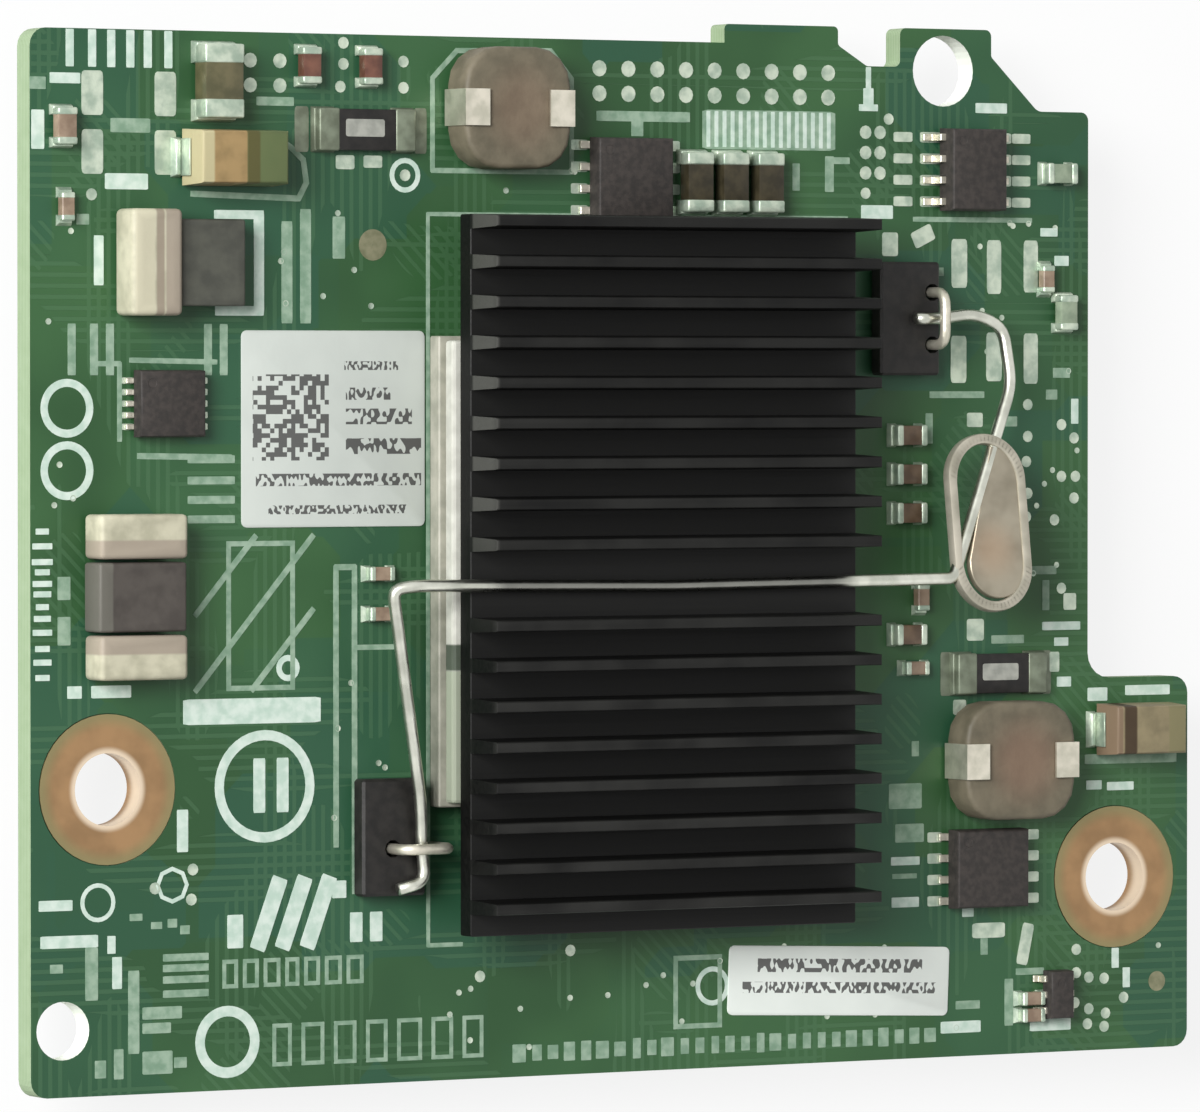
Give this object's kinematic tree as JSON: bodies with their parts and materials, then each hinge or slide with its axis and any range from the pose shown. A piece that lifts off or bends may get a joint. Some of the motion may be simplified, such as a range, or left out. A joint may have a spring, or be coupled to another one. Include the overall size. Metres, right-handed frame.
{
  "type": "ethernet adapter card",
  "caption": "Flat server mezzanine board with a finned heatsink held by a wire spring clip, plated mounting holes, chips, inductors, capacitors and a plug underneath.",
  "frame": {"origin": "under the middle of the card, at the level of the plug's mating face", "axes": "+X along the board's long side, +Y towards the edge that has the plug underneath, +Z out of the component side"},
  "size_m": [0.0778, 0.0612, 0.0132],
  "materials": {
    "board": "green solder mask over glass laminate, satin",
    "copper": "bare plated copper, slightly tarnished",
    "plug_black": "moulded black plastic",
    "substrate": "laminate",
    "lid_grey": "satin metal lid",
    "pad_grey": "soft matt pad",
    "black_anodised": "black anodised",
    "steel_wire": "plated spring wire",
    "tan": "moulded",
    "amber": "moulded",
    "black_plastic": "matt black",
    "tin": "tinned metal",
    "ferrite": "unglazed brown ferrite",
    "chip_black": "moulded epoxy",
    "ceramic": "brown ceramic",
    "ceramic_red": "red-brown ceramic",
    "beige": "pale ceramic",
    "grey_body": "dark grey body"
  },
  "bodies": {
    "root": {"circuit_board": "board", "hole_ring_left": "copper", "hole_ring_right": "copper", "plug": "plug_black", "chip_substrate": "substrate", "chip_lid": "lid_grey", "thermal_pad": "pad_grey", "heatsink": "black_anodised", "spring_clip": "steel_wire", "clip_finger_grip": "tan", "anchor_foot_left": "black_plastic", "anchor_foot_right": "black_plastic", "anchor_staple_left": "tin", "anchor_staple_right": "tin", "inductor_top_core": "ferrite", "inductor_top_clip_left": "tin", "inductor_top_clip_right": "tin", "inductor_bottom_core": "ferrite", "inductor_bottom_clip_left": "tin", "inductor_bottom_clip_right": "tin", "power_chip_top": "chip_black", "power_chip_bottom": "chip_black", "flash_chip": "chip_black", "logic_chip_left": "chip_black", "logic_chip_bottom": "chip_black", "shunt_top": "black_plastic", "shunt_bottom": "black_plastic", "tantalum_left": "amber", "tantalum_right": "tan", "ceramic_top_a": "ceramic", "ceramic_top_b": "ceramic", "ceramic_top_c": "ceramic", "ceramic_left": "ceramic", "chip_cap_top_a": "ceramic_red", "chip_cap_top_b": "ceramic_red", "chip_cap_left": "ceramic", "chip_cap_side_a": "ceramic", "chip_cap_side_b": "ceramic", "chip_cap_side_c": "ceramic", "chip_cap_side_d": "ceramic", "chip_cap_corner": "ceramic", "chip_cap_edge": "ceramic", "filter_body": "grey_body", "filter_cap_upper": "beige", "filter_cap_lower": "beige", "choke_cap": "beige", "choke_body": "grey_body"}
  },
  "joints": []
}
